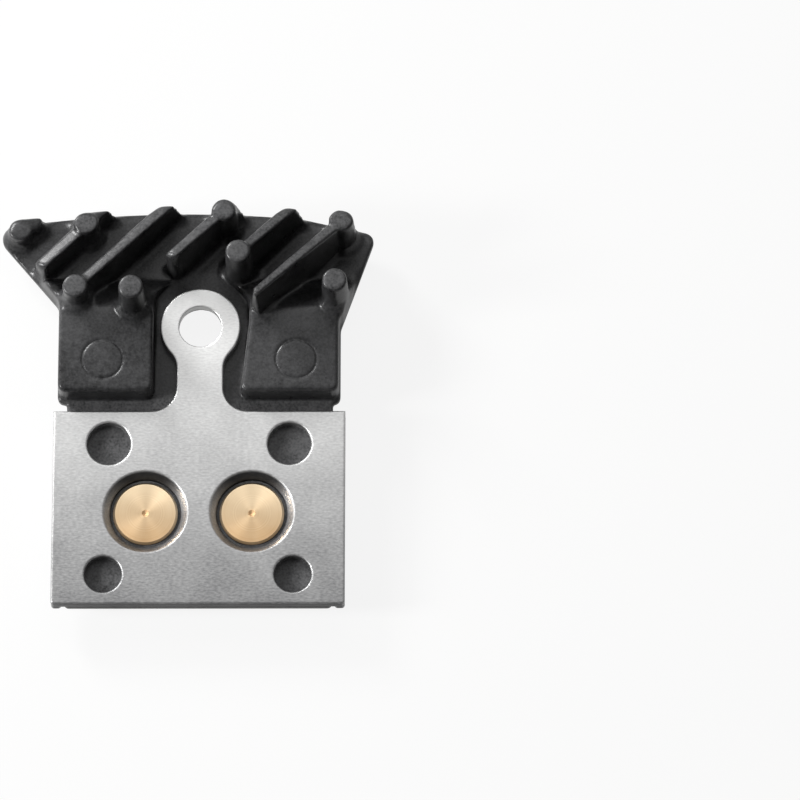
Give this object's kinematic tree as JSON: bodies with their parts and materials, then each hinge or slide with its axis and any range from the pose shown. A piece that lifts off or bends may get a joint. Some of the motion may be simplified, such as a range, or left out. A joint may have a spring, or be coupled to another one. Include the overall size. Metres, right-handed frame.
{
  "type": "bicycle disc brake pad",
  "caption": "Finned disc brake pad: a steel back plate with a pierced tab, a black die-cast cooling body with slanted fins, and a riveted sintered friction block.",
  "frame": {"origin": "centre of the axle bore at mid thickness of the steel sheet", "axes": "+Z along the bore, away from the brake disc; +Y from the plate along the tab to the fins; the pad lies on its friction face"},
  "size_m": [0.0375, 0.0414, 0.0114],
  "materials": {
    "back_plate": "matt rolled stainless sheet",
    "fin_body": "satin black coating on die-cast aluminium",
    "pad_carrier": "plain steel",
    "friction_pad": "rough sintered compound with dark specks",
    "rivets": "pale gold passivated"
  },
  "bodies": {
    "root": {"back_plate": "back_plate", "fin_body": "fin_body", "pad_carrier": "pad_carrier", "friction_pad": "friction_pad", "rivets": "rivets"}
  },
  "joints": []
}
